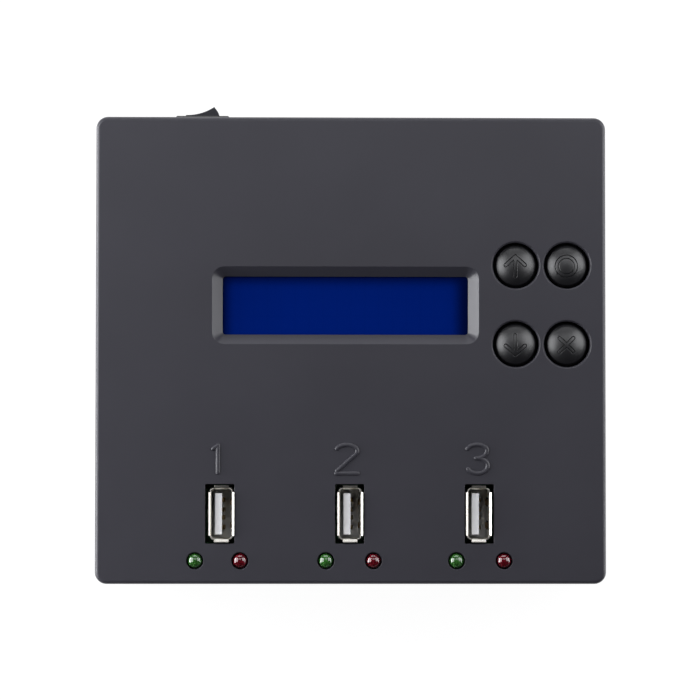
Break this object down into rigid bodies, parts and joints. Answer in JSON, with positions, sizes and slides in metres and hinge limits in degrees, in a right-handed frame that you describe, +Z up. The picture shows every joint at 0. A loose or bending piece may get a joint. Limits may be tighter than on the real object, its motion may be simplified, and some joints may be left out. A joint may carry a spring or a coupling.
{
  "type": "usb flash drive duplicator",
  "caption": "Flat charcoal desktop case with a bevelled display window, round push buttons, upright USB sockets with indicator lights, and a rear rocker switch.",
  "frame": {"origin": "on the desk, under the middle of the whole object's outline", "axes": "+X to the right along the longest side, +Y to the rear wall with the rocker, +Z up"},
  "size_m": [0.13, 0.1224, 0.0438],
  "materials": {
    "case_top": "satin charcoal moulded ABS with a fine texture",
    "case_bottom": "satin charcoal moulded ABS with a fine texture",
    "foot_rubber": "matt black rubber",
    "screw_steel": "zinc plated steel",
    "button_plastic": "semi-gloss black plastic",
    "switch_plastic": "matt black moulded plastic",
    "plunger_plastic": "white moulded plastic",
    "contact_metal": "tin plated metal",
    "socket_shell": "bright nickel plated sheet",
    "socket_plastic": "white moulded plastic",
    "contact_gold": "gold plated contacts",
    "light_green": "dark green clear resin, unlit",
    "light_red": "dark red clear resin, unlit",
    "spacer_plastic": "natural nylon",
    "board": "green lacquered laminate",
    "display_metal": "black coated sheet",
    "display_glass": "dark blue display film behind glass, unlit",
    "light_guide": "milky light guide",
    "chip_plastic": "black moulded resin",
    "can_metal": "bright can",
    "rocker_frame": "satin black plastic",
    "rocker": "semi-gloss black plastic",
    "lead_red": "red soft insulation",
    "lead_black": "black soft insulation",
    "lead_socket": "white moulded plastic",
    "jack_plastic": "black moulded plastic"
  },
  "bodies": {
    "base": {"top_shell": "case_top", "bottom_shell": "case_bottom", "case_screws": "screw_steel", "board_screws": "screw_steel", "display_screws": "screw_steel", "switch_legs": "contact_metal", "led_leads": "contact_metal", "led_spacers": "spacer_plastic", "display_board": "board", "display_frame": "display_metal", "display_glass": "display_glass", "display_backlight": "light_guide", "header_pins": "contact_gold", "header_block": "switch_plastic", "main_board": "board", "controller_chip": "chip_plastic", "memory_chip": "chip_plastic", "crystal": "can_metal", "regulator": "chip_plastic", "capacitors": "can_metal", "rocker_frame": "rocker_frame", "rocker_terminals": "contact_metal", "power_lead_left": "lead_red", "power_lead_right": "lead_black", "lead_socket": "lead_socket", "jack_body": "jack_plastic", "jack_pin": "contact_metal", "jack_tabs": "contact_metal", "foot_front_left": "foot_rubber", "foot_front_right": "foot_rubber", "foot_rear_left": "foot_rubber", "foot_rear_right": "foot_rubber", "switch_body_up": "switch_plastic", "switch_body_ring": "switch_plastic", "switch_body_down": "switch_plastic", "switch_body_cross": "switch_plastic", "usb_shell_1": "socket_shell", "usb_insulator_1": "socket_plastic", "usb_contacts_1": "contact_gold", "led_green_1": "light_green", "led_red_1": "light_red", "usb_shell_2": "socket_shell", "usb_insulator_2": "socket_plastic", "usb_contacts_2": "contact_gold", "led_green_2": "light_green", "led_red_2": "light_red", "usb_shell_3": "socket_shell", "usb_insulator_3": "socket_plastic", "usb_contacts_3": "contact_gold", "led_green_3": "light_green", "led_red_3": "light_red"},
    "button_up": {"button_up": "button_plastic", "plunger_up": "plunger_plastic"},
    "button_ring": {"button_ring": "button_plastic", "plunger_ring": "plunger_plastic"},
    "button_down": {"button_down": "button_plastic", "plunger_down": "plunger_plastic"},
    "button_cross": {"button_cross": "button_plastic", "plunger_cross": "plunger_plastic"},
    "rocker": {"rocker": "rocker"}
  },
  "joints": [
    {"name": "press_up", "type": "slide", "parent": "base", "child": "button_up", "axis": [0, 0, -1], "range_m": [0, 0.0005], "stiffness_N_per_m": 1500, "springref_m": -0.0005},
    {"name": "press_ring", "type": "slide", "parent": "base", "child": "button_ring", "axis": [0, 0, -1], "range_m": [0, 0.0005], "stiffness_N_per_m": 1500, "springref_m": -0.0005},
    {"name": "press_down", "type": "slide", "parent": "base", "child": "button_down", "axis": [0, 0, -1], "range_m": [0, 0.0005], "stiffness_N_per_m": 1500, "springref_m": -0.0005},
    {"name": "press_cross", "type": "slide", "parent": "base", "child": "button_cross", "axis": [0, 0, -1], "range_m": [0, 0.0005], "stiffness_N_per_m": 1500, "springref_m": -0.0005},
    {"name": "rocker_tilt", "type": "hinge", "parent": "base", "child": "rocker", "pos_m": [-0.03812, 0.05776, 0.0315], "axis": [0, 0, 1], "range_deg": [-32, 0]}
  ]
}
